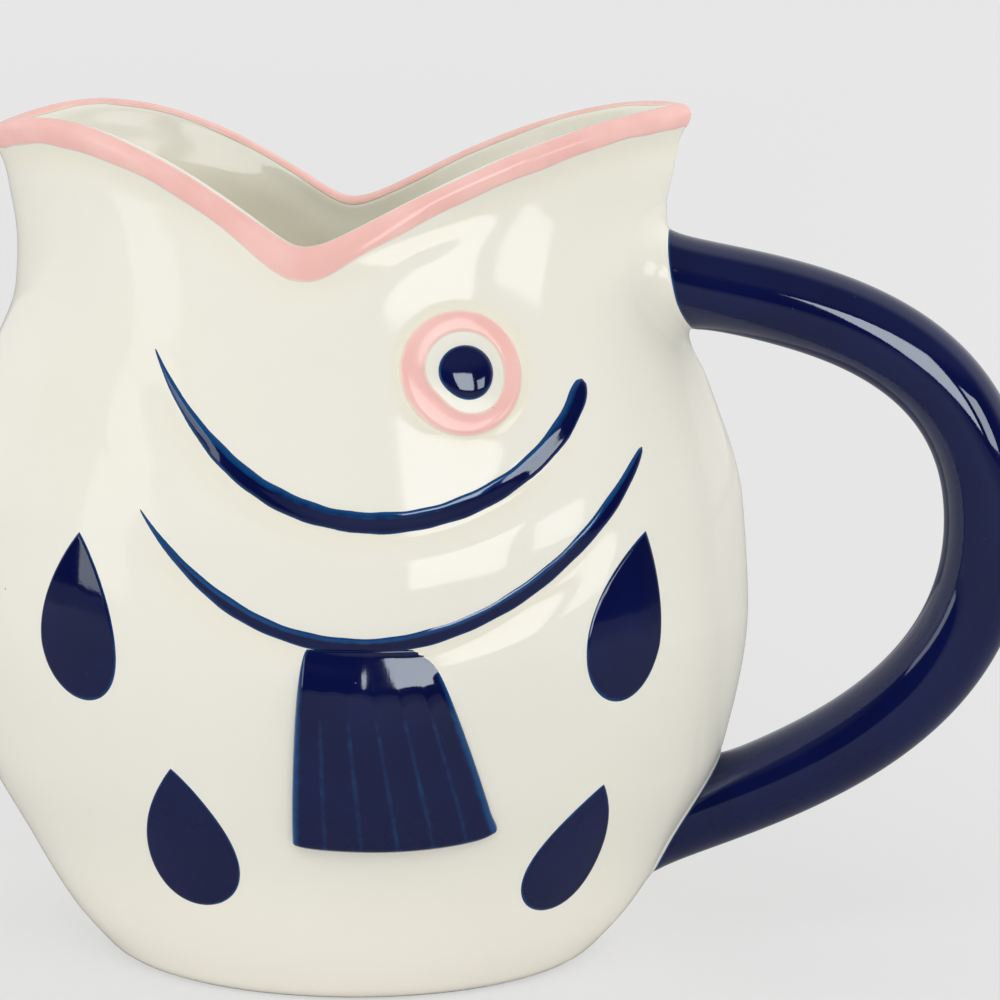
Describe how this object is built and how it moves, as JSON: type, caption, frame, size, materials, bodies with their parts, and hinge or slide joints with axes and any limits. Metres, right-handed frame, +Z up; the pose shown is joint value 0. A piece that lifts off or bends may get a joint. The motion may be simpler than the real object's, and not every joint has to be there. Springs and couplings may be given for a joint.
{
  "type": "fish jug",
  "caption": "Glazed earthenware table jug in the form of a fish with its open mouth as the rim, a loop handle, raised eyes and fluted fins.",
  "frame": {"origin": "centre of the foot's flat underside, on the table", "axes": "+X towards the handle and -X towards the pouring lip, +Z up, -Y towards the jug's left flank"},
  "size_m": [0.2222, 0.1196, 0.1765],
  "materials": {
    "cream_glaze": "gloss",
    "pink_glaze": "gloss",
    "cobalt_glaze": "gloss"
  },
  "bodies": {
    "root": {"jug_body": "cream_glaze", "lip_band": "pink_glaze", "handle": "cobalt_glaze", "handle_joint_upper": "cream_glaze", "handle_joint_lower": "cream_glaze", "eye_ring_left": "pink_glaze", "eye_ring_right": "pink_glaze", "pupil_left": "cobalt_glaze", "pupil_right": "cobalt_glaze", "fin_left": "cobalt_glaze", "fin_right": "cobalt_glaze", "jaw_line_left": "cobalt_glaze", "jaw_line_right": "cobalt_glaze", "gill_line_left": "cobalt_glaze", "gill_line_right": "cobalt_glaze", "scale_upper_back_left": "cobalt_glaze", "scale_upper_back_right": "cobalt_glaze", "scale_upper_front_left": "cobalt_glaze", "scale_upper_front_right": "cobalt_glaze", "scale_lower_front_left": "cobalt_glaze", "scale_lower_front_right": "cobalt_glaze", "scale_lower_back_left": "cobalt_glaze", "scale_lower_back_right": "cobalt_glaze"}
  },
  "joints": []
}
